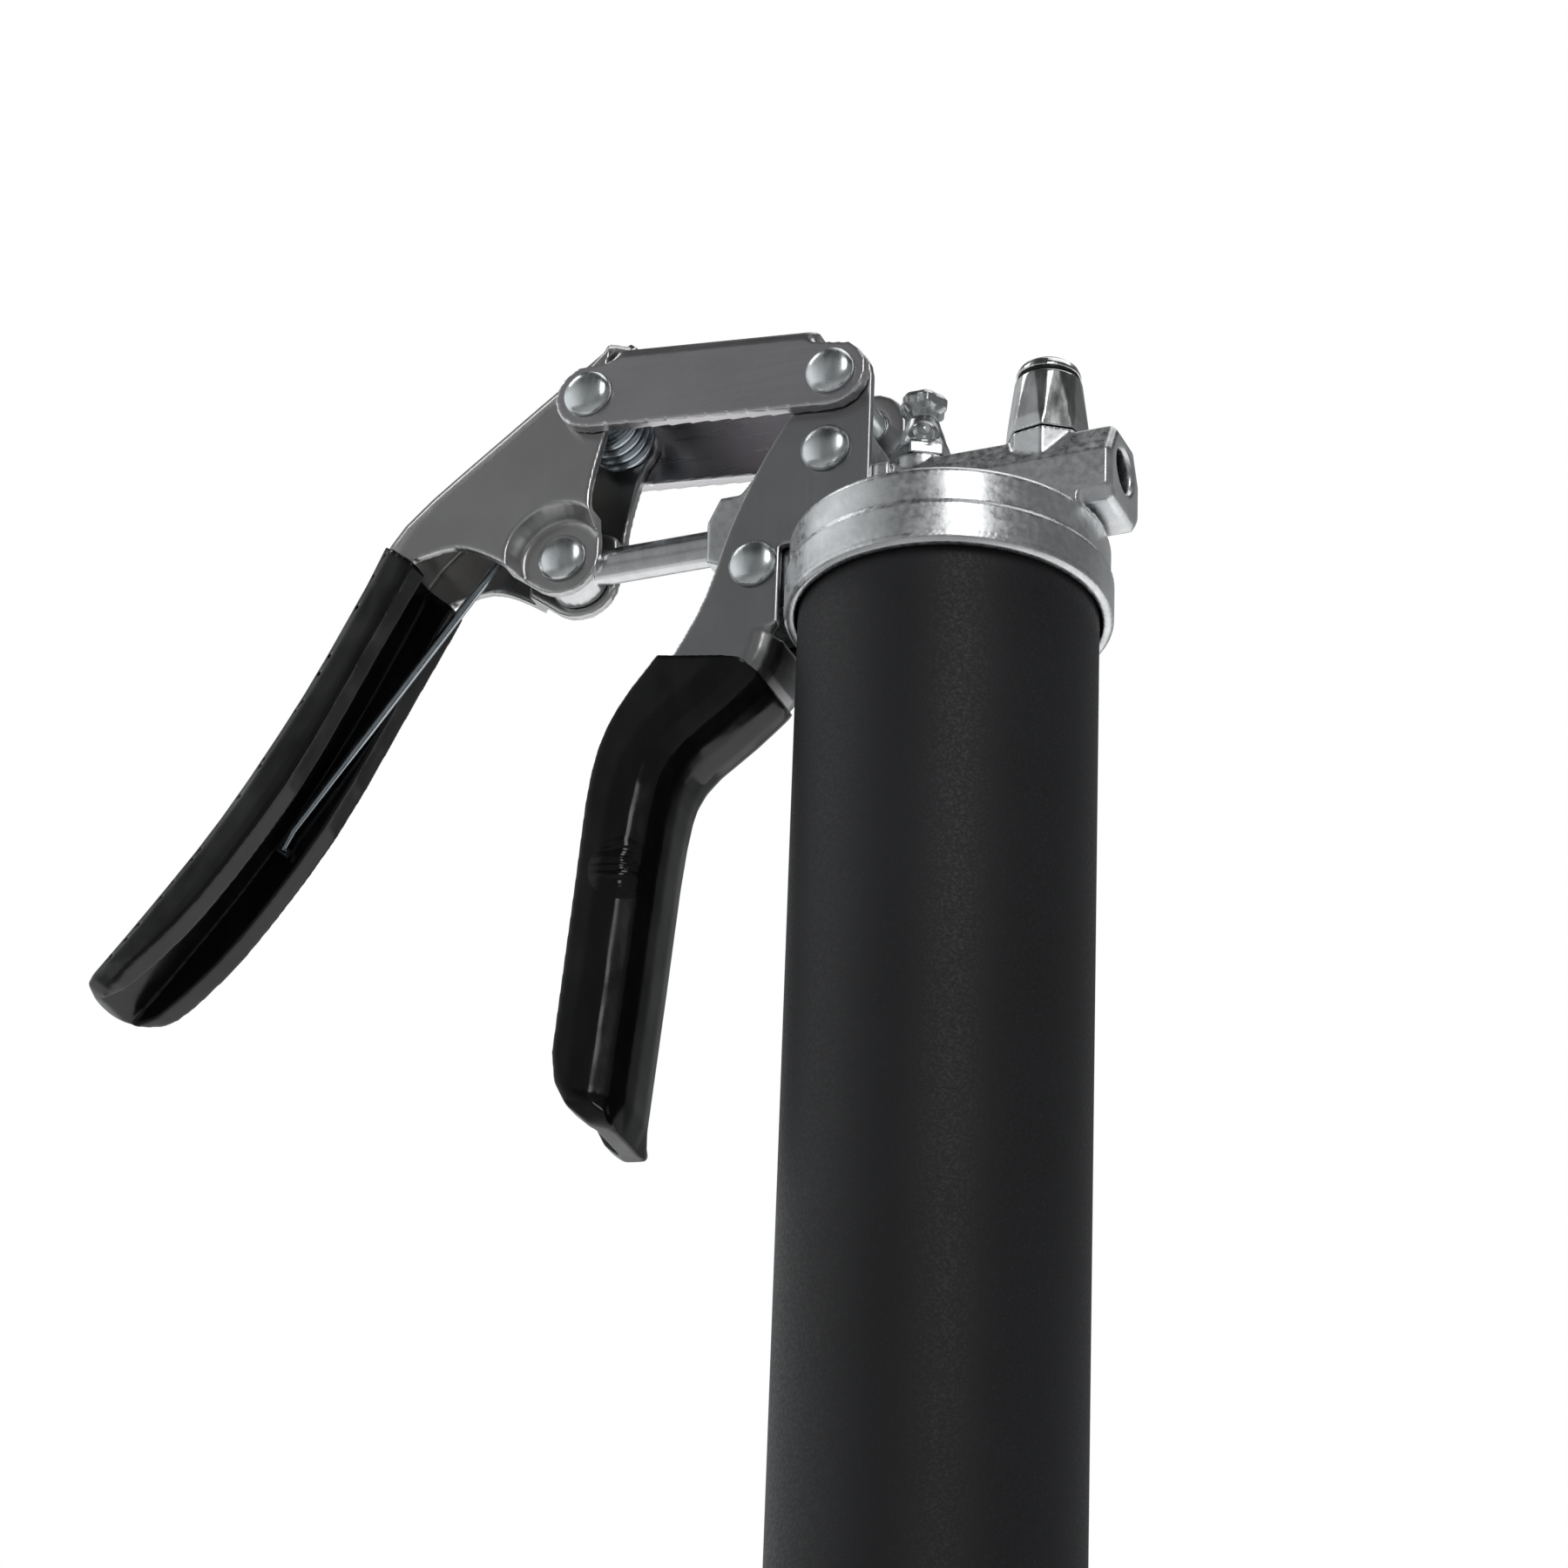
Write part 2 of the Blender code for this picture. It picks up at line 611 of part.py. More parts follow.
def end_cap(steel, parent):
    """A pressed cap over the lower end of the barrel, with a hole for the rod."""
    outside = BARREL_RADIUS + GAP + 1.2
    low = CAP_FACE
    profile = [
        (ROD_RADIUS + 0.5, low), (20.0, low), (28.4, low + 0.0), (outside, low + 1.6), (outside, low + 15.0),
        (BARREL_RADIUS + GAP, low + 15.0), (BARREL_RADIUS + GAP, low + 1.7), (ROD_RADIUS + 0.5, low + 1.7),
    ]
    add("end_cap", turn(profile, 48), steel, parent=parent)
    one_side = [(-11.0, -6.0), (8.0, -7.0), (19.0, -3.5), (24.0, 0.0)]
    other_side = [(x, -y) for x, y in reversed(one_side[:-1])]
    lock = through([*one_side, *other_side])
    bm = loft([[(x, y, z) for x, y in lock] for z in (low - 1.5, low - GAP)])
    plate = add("rod_lock", bm, steel, parent=parent)
    radius = ROD_RADIUS + GAP
    slot = [*arc((0.0, 0.0), radius, -90, 90, 10), *arc((-LOCK_TRAVEL, 0.0), radius, 90, 270, 10)]
    cut(plate, "rod_slot", loft([[(x, y, z) for x, y in slot] for z in (low - 5.0, low + 5.0)]))


def follower(steel, rubber, plastic, parent):
    """The rod, the follower that pushes the grease, and the pull handle, which all slide together."""
    axis = (0.0, 0.0, CAP_FACE)
    top = FOLLOWER_TOP
    add("follower_rod", rod(ROD_RADIUS, FOOT_TOP - 3.0, top + 1.5, segments=24), steel, axis, parent)
    bore = ROD_RADIUS + GAP
    add("follower_plate", ring(bore, 22.5, top - 11.0, top - 9.2, segments=24), steel, axis, parent)
    cup = [(bore, top - 8.9), (22.0, top - 8.9), (26.4, top - 2.0), (26.7, top), (25.0, top)]
    cup += [(21.6, top - 5.6), (bore, top - 5.6)]
    add("follower_seal", turn(cup, 24), rubber, axis, parent)
    corner = bore / math.cos(math.pi / 6)
    nut = turn([(corner, top - 5.3), (7.4, top - 5.3), (7.4, top - 0.6), (corner, top - 0.6)], 6)
    add("follower_nut", nut, steel, axis, parent)
    add("pull_handle", pull_handle_shape(), plastic, axis, parent)
    room = rod(ROD_RADIUS + GAP, FOOT_TOP - 3.0 - GAP, 0.0, segments=24)
    cut(bpy.data.objects["pull_handle"], "rod_socket", room)
    join(bpy.data.objects["pull_handle"], "hub", pull_hub())


def pull_handle_shape():
    """A cross bar with rounded ends and a flat foot."""
    low = -RIM_HEIGHT
    rings = []
    for z, inset in ((low, 1.5), (low + 1.5, 0.0), (FOOT_TOP - 2.0, 0.0), (FOOT_TOP, 2.0)):
        section = []
        for end in (1, -1):
            start = -90 if end == 1 else 90
            for x, y in arc((end * 23.0, 0.0), 7.5 - inset, start, start + 180, 8):
                section.append((x, y, z))
        rings.append(section)
    return loft(rings)


def pull_hub():
    bore = ROD_RADIUS + GAP
    return ring(bore, 6.0, FOOT_TOP - 3.0 - GAP, FOOT_TOP + 4.0, segments=24)


def follower_spring(steel, parent):
    """The long spring between the end cap and the follower, with a closed turn at each end."""
    turns = 12
    per_turn = 10
    wire = 1.3
    low = CAP_FACE + 1.7 + GAP + wire
    high = FOLLOWER_TOP - 11.0 - GAP - wire
    path = []
    for i in range(turns * per_turn + 1):
        angle = 2 * math.pi * i / per_turn
        part = i / (turns * per_turn)
        path.append((19.0 * math.cos(angle), 19.0 * math.sin(angle), low + (high - low) * part))
    add("follower_spring", coil(path, wire, 4), steel, parent=parent)


# Link, lever and plunger.

def top_link(finish, parent):
    """An inverted channel between the two upper pivots, whose web stops short of the round ends."""
    ax, az = LEVER_PIVOT
    bx, bz = LINK_PIVOT
    length = math.hypot(bx - ax, bz - az)
    along = Vector((bx - ax, bz - az)) / length
    up = Vector((-along.y, along.x))

    def place(points):
        return [tuple(Vector(LEVER_PIVOT) + along * u + up * v) for u, v in points]

    end = 7.1
    web = 10.6
    right = arc((length, 0.0), end, 65, -90, 7)
    left = arc((0.0, 0.0), end, 270, 115, 7)
    shoulder = web - LINK_SHEET - 0.6
    outline = [(4.4, web), (length - 4.6, web), (length - 4.4, shoulder), *right, *left, (3.2, shoulder)]
    block = sheet_block(place(outline), 0, 1, LINK_HALF_WIDTH, 2.6)
    node = add("top_link", block, finish, (ax, 0.0, az), parent)
    inside = LINK_HALF_WIDTH - LINK_SHEET
    top = web - LINK_SHEET
    room = place([(-20.0, -20.0), (length + 20.0, -20.0), (length + 20.0, top), (-20.0, top)])
    cut(node, "channel", prism_y(room, -inside, inside))
    pin_holes(node, [LEVER_PIVOT, LINK_PIVOT])
    return node


def link_rivets(finish, parent):
    for name, pivot in (("link_rivet_lever", LEVER_PIVOT), ("link_rivet_head", LINK_PIVOT)):
        add(name, rivet(pivot, LINK_HALF_WIDTH + GAP), finish, (pivot[0], 0.0, pivot[1]), parent)


def lever(finish, parent):
    """The outer handle: a channel whose sheets are dished inwards round the plunger's pin."""
    outline = lever_outline()
    last = len(lever_web()) - 1
    pivot = (LEVER_PIVOT[0], 0.0, LEVER_PIVOT[1])
    block = sheet_block(outline, TONGUE_POINTS, last, HANDLE_HALF_WIDTH, SHEET_BEND)
    node = add("lever", block, finish, pivot, parent)
    inside = HANDLE_HALF_WIDTH - SHEET
    hollow = cut(node, "channel", prism_y(lever_hollow(SHEET), -inside, inside))
    centre = (PLUNGER_PIVOT[0], 0.0, PLUNGER_PIVOT[1])
    dish_inside = EYE_HALF_WIDTH + GAP
    dish_outside = dish_inside + SHEET
    for side in (-1, 1):
        low, high = sorted((side * dish_inside, side * 9.0))
        cut(hollow, "dish_%d" % side, rod(11.2, low, high, centre, "Y", 28))
        cut(node, "dish_%d" % side, dish(side * dish_outside, side * 15.0, centre))
    pin_holes(node, [LEVER_PIVOT, PLUNGER_PIVOT])
    shape_tongue(node)
    round_end(node, outline, run_out(lever_web()), HANDLE_HALF_WIDTH, 9.0, 9.0)


def dish(floor, end, centre):
    """A shallow cone from the bottom of a dish to beyond the sheet."""
    slope = 0.45
    wide = 8.3 + slope * abs(end - floor)
    profile = [(0.0, floor), (8.3, floor), (wide, end), (0.0, end)]
    return turn(profile, 28, centre, "Y")


def shape_tongue(node):
    """Narrows the end of the web, which stands out beyond the sides, to a flat tongue."""
    foot, tip = Vector((-70.8, 70.9)), Vector((-67.7, 73.5))
    along = (tip - foot).normalized()
    reach = (tip - foot).length
    wide = HANDLE_HALF_WIDTH + 0.6
    narrow = 3.6
    clear = 15.0
    end = reach + 9.0
    for side in (-1, 1):
        points = [(0.0, side * wide), (reach, side * narrow), (end, side * narrow)]
        points += [(end, side * clear), (0.0, side * clear)]
        cut(node, "tongue_%d" % side, plan_cutter(foot, along, points, 5.0))


def lever_grip(finish, parent):
    outline = grown(lever_outline(), VINYL)
    last = len(lever_web()) - 1
    pivot = (LEVER_PIVOT[0], 0.0, LEVER_PIVOT[1])
    half = HANDLE_HALF_WIDTH + VINYL
    block = sheet_block(outline, TONGUE_POINTS, last, half, GRIP_BEND)
    node = add("lever_grip", block, finish, pivot, parent)
    lip = [(-126.0, 42.6), (-116.0, 34.8), (-107.4, 27.2), (-98.0, 12.0), (-20.0, 0.0), (-20.0, 100.0)]
    cut(node, "lip", grip_above([*lip, (-126.0, 100.0)]))
    round_end(node, outline, run_out(lever_web()), half, 10.6, 10.8)
    room = lever_hollow(SHEET + GAP)
    sheet_room(node, lever_outline(), last, room, lever_hollow(SHEET + GAP + COAT))
    round_end(bpy.data.objects["lever_grip_steel"], grown(lever_outline(), GAP), run_out(lever_web()),
              HANDLE_HALF_WIDTH + GAP, 9.0, 9.0)
    return node


def lever_pins(steel, parent):
    """The plunger's pin, and the bush that carries the return spring."""
    pivot = (PLUNGER_PIVOT[0], 0.0, PLUNGER_PIVOT[1])
    reach = EYE_HALF_WIDTH + GAP + SHEET + GAP
    add("plunger_rivet", rivet(PLUNGER_PIVOT, reach), steel, pivot, parent)
    pivot = (LEVER_PIVOT[0], 0.0, LEVER_PIVOT[1])
    inside = HANDLE_HALF_WIDTH - SHEET - GAP
    add("spring_bush", ring(RIVET_SHANK + GAP, 4.6, -inside, inside, pivot, "Y", 24), steel, pivot, parent)


def return_spring(steel, parent):
    """A torsion spring on the upper pin: its long leg lies in the lever, and its short tail is tucked in."""
    ax, az = LEVER_PIVOT
    radius = 6.3
    wire = 1.0
    turns = 4
    per_turn = 14
    leg_y = 5.0
    foot = Vector((-140.6, -22.4))
    to_foot = foot - Vector((ax, az))
    leg_angle = math.atan2(to_foot.y, to_foot.x) - math.acos(radius / to_foot.length)
    path = [(foot.x + 2.2, leg_y, foot.y - 1.2), (foot.x, leg_y, foot.y)]
    start = Vector((ax + radius * math.cos(leg_angle), az + radius * math.sin(leg_angle)))
    for part in (0.35, 0.7, 0.97):
        point = foot.lerp(start, part)
        path.append((point.x, leg_y, point.y))
    for i in range(turns * per_turn + 1):
        angle = leg_angle + 2 * math.pi * i / per_turn
        y = leg_y - (2 * leg_y) * i / (turns * per_turn)
        path.append((ax + radius * math.cos(angle), y, az + radius * math.sin(angle)))
    add("return_spring", coil(path, wire, 5), steel, (ax, 0.0, az), parent)


def plunger(finish, parent):
    """The pump rod. Its flat eye has a wide hole, because the lever's pin rises and falls a little."""
    px, pz = PLUNGER_PIVOT
    middle = (0.0, 0.0, PLUNGER_HEIGHT)
    shaft = [(0.0, px + 5.0), (PLUNGER_RADIUS, px + 5.0), (PLUNGER_RADIUS, PLUNGER_TIP_X - 0.8)]
    shaft += [(PLUNGER_RADIUS - 0.8, PLUNGER_TIP_X), (0.0, PLUNGER_TIP_X)]
    node = add("plunger", turn(shaft, 28, middle, "X"), finish, (px, 0.0, pz), parent)
    join(node, "eye", rod(6.0, -EYE_HALF_WIDTH, EYE_HALF_WIDTH, (px, 0.0, pz), "Y", 24))
    cut(node, "eye_hole", rod(RIVET_SHANK + 1.25, -9.0, 9.0, (px, 0.0, pz), "Y", 20))


def build():
    for old in list(bpy.data.objects):
        bpy.data.objects.remove(old, do_unlink=True)
    material("cutter", (1.0, 0.0, 1.0), 0.5, 0.0)
    casting = material("die_cast", (0.62, 0.65, 0.63), 0.32, 0.9)
    zinc = material("zinc_sheet", (0.42, 0.42, 0.43), 0.3, 0.9)
    bright = material("bright_steel", (0.72, 0.74, 0.74), 0.2, 1.0)
    vinyl = material("black_vinyl", (0.012, 0.012, 0.013), 0.25, 0.0)
    paint = material("black_paint", (0.02, 0.02, 0.022), 0.6, 0.0)
    rubber = material("black_rubber", (0.015, 0.015, 0.015), 0.8, 0.0)

    head_casting(casting)
    fixed_handle(zinc)
    fixed_grip(vinyl)
    head_rivets(bright)
    gland(bright, rubber)
    check_valve(bright, axis_empty("check_axis", 0.0, OUTLET_HEIGHT))
    filler_fitting(bright, rubber, axis_empty("filler_axis", FILLER_X, 40.0))
    bleed_valve(bright, axis_empty("bleeder_axis", BLEEDER_X, 40.0))

    tube_axis = axis_empty("barrel_axis", 0.0, 0.0)
    barrel(paint, bright, rubber, tube_axis)
    follower_axis = axis_empty("follower_axis", 0.0, CAP_FACE)
    follower(bright, rubber, vinyl, follower_axis)
    follower_spring(zinc, tube_axis)

    link_axis = axis_empty("link_axis", *LINK_PIVOT)
    top_link(zinc, link_axis)
    link_rivets(bright, link_axis)
    lever_axis = axis_empty("lever_axis", *LEVER_PIVOT)
    lever(zinc, lever_axis)
    lever_grip(vinyl, lever_axis)
    lever_pins(bright, lever_axis)
    return_spring(zinc, lever_axis)
    plunger(bright, axis_empty("plunger_axis", *PLUNGER_PIVOT))


build()
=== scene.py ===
"""Looks of the pistol-grip grease gun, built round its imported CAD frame.

Metres, +Z up, +X towards the outlet.
"""

import json
import math

import bmesh
import bpy
from mathutils import Matrix, Vector


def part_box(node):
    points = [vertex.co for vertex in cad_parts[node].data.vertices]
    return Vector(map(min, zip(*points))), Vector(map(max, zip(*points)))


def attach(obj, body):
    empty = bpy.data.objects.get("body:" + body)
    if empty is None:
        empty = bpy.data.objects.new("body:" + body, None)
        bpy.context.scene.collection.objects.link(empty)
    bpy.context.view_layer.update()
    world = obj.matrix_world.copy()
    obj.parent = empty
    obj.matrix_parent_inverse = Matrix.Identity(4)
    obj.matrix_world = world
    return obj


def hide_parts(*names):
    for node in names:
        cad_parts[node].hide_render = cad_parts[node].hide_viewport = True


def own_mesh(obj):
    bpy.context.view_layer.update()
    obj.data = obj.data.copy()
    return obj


MM = 0.001
COARSE_VOXEL = 0.4 * MM
FINE_VOXEL = 0.2 * MM
CAST_VOXEL = 0.34 * MM
FIXED_GRIP_VOXEL = 0.32 * MM
SMOOTHING = 0.5
HEAD_SEGMENTS = 64
HEAD_BAND_RADIUS = 28.0 * MM
HEAD_BAND_TOP = 17.2 * MM
RIVET_DOME = 2.3 * MM
BARREL_WALL = 1.5 * MM
CAP_WALL = 1.15 * MM
CAP_BORE = 4.0 * MM
CAP_FLOOR = 1.7 * MM
GLAND_BORE = 3.75 * MM
RETURN_SPRING_RADIUS = 6.3 * MM
RETURN_SPRING_WIRE = 0.93 * MM
FOLLOWER_SPRING_RADIUS = 19.0 * MM
FOLLOWER_SPRING_WIRE = 1.25 * MM
FLOOR_HALF_SIZE = 4.0
FLOOR_HEIGHT = -0.42

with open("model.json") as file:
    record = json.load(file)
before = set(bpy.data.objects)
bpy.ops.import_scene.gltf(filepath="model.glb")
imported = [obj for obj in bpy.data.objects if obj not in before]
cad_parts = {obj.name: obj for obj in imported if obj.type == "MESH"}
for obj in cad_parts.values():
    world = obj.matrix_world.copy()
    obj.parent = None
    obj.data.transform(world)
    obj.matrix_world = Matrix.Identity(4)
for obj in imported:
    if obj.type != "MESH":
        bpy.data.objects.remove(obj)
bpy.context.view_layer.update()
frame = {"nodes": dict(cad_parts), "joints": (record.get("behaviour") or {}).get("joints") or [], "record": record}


# Places that come from the frame.

def joint(name):
    return next(item for item in frame["joints"] if item["name"] == name)


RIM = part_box("head_casting")[0].z
LEVER_PIVOT = Vector(joint("lever_squeeze")["pos_m"])


# Mesh helpers.

def linked(name, mesh):
    piece = bpy.data.objects.new(name, mesh)
    bpy.context.scene.collection.objects.link(piece)
    return piece


def applied(piece):
    """Bakes the piece's modifiers into its mesh."""
    graph = bpy.context.evaluated_depsgraph_get()
    mesh = bpy.data.meshes.new_from_object(piece.evaluated_get(graph))
    old = piece.data
    piece.modifiers.clear()
    piece.data = mesh
    bpy.data.meshes.remove(old)
    return piece


def welded(node):
    """A copy of a CAD node's mesh whose faces share their corners."""
    mesh = frame["nodes"][node].data.copy()
    bm = bmesh.new()
    bm.from_mesh(mesh)
    bmesh.ops.remove_doubles(bm, verts=bm.verts, dist=0.000002)
    bm.to_mesh(mesh)
    bm.free()
    mesh.materials.clear()
    return mesh


def remeshed(piece, voxel):
    """Gives the piece an even, dense mesh."""
    remesh = piece.modifiers.new("remesh", "REMESH")
    remesh.mode = "VOXEL"
    remesh.voxel_size = voxel
    return applied(piece)


def smoothed(piece, rounds):
    """Rounds the piece's edges over."""
    smooth = piece.modifiers.new("smooth", "SMOOTH")
    smooth.factor = SMOOTHING
    smooth.iterations = rounds
    return applied(piece)


def place(piece, nodes, body, finish):
    """Shades a piece, gives it its material, hides the CAD nodes it stands for and hangs it on its body."""
    piece.data.materials.clear()
    piece.data.materials.append(finish)
    piece.data.shade_smooth()
    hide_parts(*nodes)
    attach(piece, body)
    return piece


def rounded(mesh, segments, radius, top):
    """Pulls the facets of the CAD's turned band onto a circle: below top and outside radius."""
    step = 2 * math.pi / segments
    for vertex in mesh.vertices:
        spot = vertex.co
        if spot.z < top and math.hypot(spot.x, spot.y) > radius:
            angle = math.atan2(spot.y, spot.x)
            off = angle - step * round(angle / step)
            spot.x *= math.cos(off)
            spot.y *= math.cos(off)


def refined(node, name, body, finish, voxel, rounds, band=None):
    """A CAD node as a dense mesh with soft edges. A band is what rounded() needs for a turned part."""
    piece = remeshed(linked(name, welded(node)), voxel)
    if band is not None:
        rounded(piece.data, *band)
    smoothed(piece, rounds)
    return place(piece, [node], body, finish)


def coiled(name, path, wire, sides):
    """A round wire along a path, closed at both ends."""
    points = [Vector(point) for point in path]
    normal = Vector((0.0, 1.0, 0.3))
    bm = bmesh.new()
    rings = []
    for i, point in enumerate(points):
        along = (points[min(i + 1, len(points) - 1)] - points[max(i - 1, 0)]).normalized()
        normal = (normal - along * normal.dot(along)).normalized()
        side = along.cross(normal)
        row = []
        for k in range(sides):
            angle = 2 * math.pi * k / sides
            row.append(bm.verts.new(point + wire * (normal * math.cos(angle) + side * math.sin(angle))))
        rings.append(row)
    for low, high in zip(rings, rings[1:]):
        for i in range(sides):
            j = (i + 1) % sides
            bm.faces.new((low[i], low[j], high[j], high[i]))
    bm.faces.new(rings[0])
    bm.faces.new(rings[-1])
    bmesh.ops.recalc_face_normals(bm, faces=bm.faces)
    mesh = bpy.data.meshes.new(name)
    bm.to_mesh(mesh)
    bm.free()
    return linked(name, mesh)


def turned(name, profile, segments, centre, axis):
    """A turned solid, from a profile of (radius, height) in metres.

    The profile starts and ends on the axis, or closes on itself.
    """
    bm = bmesh.new()
    rows = []
    for radius, height in profile:
        row = []
        for i in range(segments if radius > 0 else 1):
            angle = 2 * math.pi * i / segments
            a = radius * math.cos(angle)
            b = radius * math.sin(angle)
            offset = {"X": (height, a, b), "Y": (a, height, b), "Z": (a, b, height)}[axis]
            row.append(bm.verts.new(Vector(centre) + Vector(offset)))
        rows.append(row)
    pairs = list(zip(rows, rows[1:]))
    if len(rows[0]) > 1:
        pairs.append((rows[-1], rows[0]))
    for low, high in pairs:
        for i in range(segments):
            j = (i + 1) % segments
            corners = [low[i % len(low)], low[j % len(low)], high[j % len(high)], high[i % len(high)]]
            face = list(dict.fromkeys(corners))
            if len(face) > 2:
                bm.faces.new(face)
    bmesh.ops.recalc_face_normals(bm, faces=bm.faces)
    mesh = bpy.data.meshes.new(name)
    bm.to_mesh(mesh)
    bm.free()
    return linked(name, mesh)


# Materials.

def add(tree, kind, inputs=None, **settings):
    made = tree.nodes.new(kind)
    for key, value in settings.items():
        setattr(made, key, value)
    for key, value in (inputs or {}).items():
        if isinstance(value, bpy.types.NodeSocket):
            tree.links.new(value, made.inputs[key])
        else:
            made.inputs[key].default_value = value
    return made


def noise(tree, scale, stretch=(1.0, 1.0, 1.0), detail=3.0, turn=(0.0, 0.0, 0.0)):
    """Noise over the part's own frame, in blotches per metre."""
    place_of = add(tree, "ShaderNodeTexCoord").outputs["Object"]
    mapping = add(tree, "ShaderNodeMapping", {"Vector": place_of, "Scale": stretch, "Rotation": turn})
    inputs = {"Vector": mapping.outputs[0], "Scale": scale, "Detail": detail}
    texture = add(tree, "ShaderNodeTexNoise", inputs)
    return texture.outputs["Fac"]


def spread(tree, source, low, high, start=0.35, end=0.65):
    """The source's middle range, stretched to run from low to high."""
    limits = {"From Min": start, "From Max": end, "To Min": low, "To Max": high}
    return add(tree, "ShaderNodeMapRange", {"Value": source, **limits}).outputs["Result"]


def blend(tree, factor, first, second):
    mix = add(tree, "ShaderNodeMix", data_type="RGBA")
    for index, value in ((0, factor), (6, first), (7, second)):
        if isinstance(value, bpy.types.NodeSocket):
            tree.links.new(value, mix.inputs[index])
        else:
            mix.inputs[index].default_value = (*value, 1.0)
    return mix.outputs[2]


def surface(name, metallic=0.0, **sockets):
    made = bpy.data.materials.new(name)
    made.use_nodes = True
    shader = made.node_tree.nodes["Principled BSDF"]
    shader.inputs["Metallic"].default_value = metallic
    for key, value in sockets.items():
        shader.inputs[key.replace("_", " ")].default_value = value
    return made, made.node_tree, shader


def bump(tree, shader, height, strength, distance, under=None):
    inputs = {"Height": height, "Strength": strength, "Distance": distance}
    if under is not None:
        inputs["Normal"] = under
    normal = add(tree, "ShaderNodeBump", inputs).outputs["Normal"]
    tree.links.new(normal, shader.inputs["Normal"])
    return normal


def edges(tree, start, end):
    """0 on flat faces and 1 on worn edges."""
    return spread(tree, add(tree, "ShaderNodeNewGeometry").outputs["Pointiness"], 0.0, 1.0, start, end)


def painted_recess_shade(tree, colour, dark, reach):
    """The colour, darkened with painted shade inside holes and deep corners, where ambient occlusion finds little
    open space.
    """
    openness = add(tree, "ShaderNodeAmbientOcclusion", {"Distance": reach}).outputs["AO"]
    return blend(tree, spread(tree, openness, 0.0, 1.0, 0.2, 0.62), dark, colour)


def crease(tree, shader, spot, under):
    """A few short wrinkles in the skin round one spot."""
    place_of = add(tree, "ShaderNodeTexCoord").outputs["Object"]
    away = add(tree, "ShaderNodeVectorMath", {0: place_of, 1: spot}, operation="DISTANCE").outputs["Value"]
    near = spread(tree, away, 1.0, 0.0, 0.0015, 0.0065)
    folds = noise(tree, 420.0, (0.3, 0.3, 1.6), 1.0)
    height = add(tree, "ShaderNodeMath", {0: near, 1: folds}, operation="MULTIPLY").outputs[0]
    return bump(tree, shader, height, 0.9, 0.0014, under)


def pressed_sheet(name, dark, light, roughness, grain):
    """Plated sheet steel: streaked gloss along one way, cloudy plating and bright sheared edges."""
    made, tree, shader = surface(name, 1.0)
    cloud = noise(tree, 60.0, detail=4.0)
    colour = blend(tree, spread(tree, cloud, 0.0, 1.0), dark, light)
    colour = blend(tree, edges(tree, 0.51, 0.57), colour, (0.92, 0.93, 0.94))
    tree.links.new(colour, shader.inputs["Base Color"])
    lines = noise(tree, 900.0, grain, 2.0)
    rough = spread(tree, lines, roughness - 0.02, roughness + 0.03)
    tree.links.new(rough, shader.inputs["Roughness"])
    bump(tree, shader, noise(tree, 120.0, detail=2.0), 0.1, 0.0003)
    return made


def die_cast():
    """Plated zinc casting: soft frosted skin with a little flow and pitting."""
    made, tree, shader = surface("die_cast_plated", 1.0)
    cloud = noise(tree, 110.0, detail=5.0)
    colour = blend(tree, spread(tree, cloud, 0.0, 1.0), (0.69, 0.705, 0.715), (0.86, 0.875, 0.885))
    # Painted shade: the casting's colour goes dark inside its holes and deep corners.
    colour = painted_recess_shade(tree, colour, (0.035, 0.035, 0.037), 0.009)
    tree.links.new(colour, shader.inputs["Base Color"])
    frost = noise(tree, 700.0, detail=4.0)
    tree.links.new(spread(tree, frost, 0.24, 0.42), shader.inputs["Roughness"])
    skin = bump(tree, shader, noise(tree, 260.0, detail=3.0), 0.16, 0.0004)
    bump(tree, shader, frost, 0.14, 0.00012, skin)
    return made


def bright_plate(name, colour, roughness):
    """Bright plated steel with faint polishing marks."""
    made, tree, shader = surface(name, 1.0)
    marks = noise(tree, 500.0, (1.0, 1.0, 0.3), 4.0)
    dark = tuple(part * 0.86 for part in colour)
    tree.links.new(blend(tree, spread(tree, marks, 0.0, 1.0), dark, colour), shader.inputs["Base Color"])
    tree.links.new(spread(tree, marks, roughness - 0.05, roughness + 0.08), shader.inputs["Roughness"])
    bump(tree, shader, noise(tree, 350.0, detail=2.0), 0.1, 0.0002)
    return made


def dipped_vinyl(name, wrinkled=None):
    """Glossy black dipped vinyl, with slow waves in its skin and faint scuffs."""
    made, tree, shader = surface(name, 0.0, Specular_IOR_Level=0.4)
    scuff = noise(tree, 240.0, (1.0, 1.0, 0.35), 5.0)
    colour = blend(tree, spread(tree, scuff, 0.0, 1.0), (0.0042, 0.0042, 0.0048), (0.0075, 0.0075, 0.0082))
    tree.links.new(colour, shader.inputs["Base Color"])
    tree.links.new(spread(tree, scuff, 0.13, 0.24), shader.inputs["Roughness"])
    waves = bump(tree, shader, noise(tree, 62.0, detail=1.5), 0.5, 0.0016)
    if wrinkled is not None:
        waves = crease(tree, shader, wrinkled, waves)
    bump(tree, shader, noise(tree, 900.0, detail=2.0), 0.04, 0.0001, waves)
    return made


def powder_coat():
    """Matt charcoal powder coat with a fine, even grain."""
    made, tree, shader = surface("powder_coat", 0.0, Specular_IOR_Level=0.45)
    patch = noise(tree, 24.0, detail=5.0)
    grain = noise(tree, 1700.0, detail=3.0)
    colour = blend(tree, spread(tree, patch, 0.0, 1.0), (0.0125, 0.0125, 0.0145), (0.0175, 0.0178, 0.0205))
    colour = blend(tree, spread(tree, grain, 0.0, 0.35, 0.55, 0.75), colour, (0.045, 0.045, 0.05))
    tree.links.new(colour, shader.inputs["Base Color"])
    tree.links.new(spread(tree, grain, 0.48, 0.66), shader.inputs["Roughness"])
    bump(tree, shader, grain, 0.3, 0.00012)
    return made


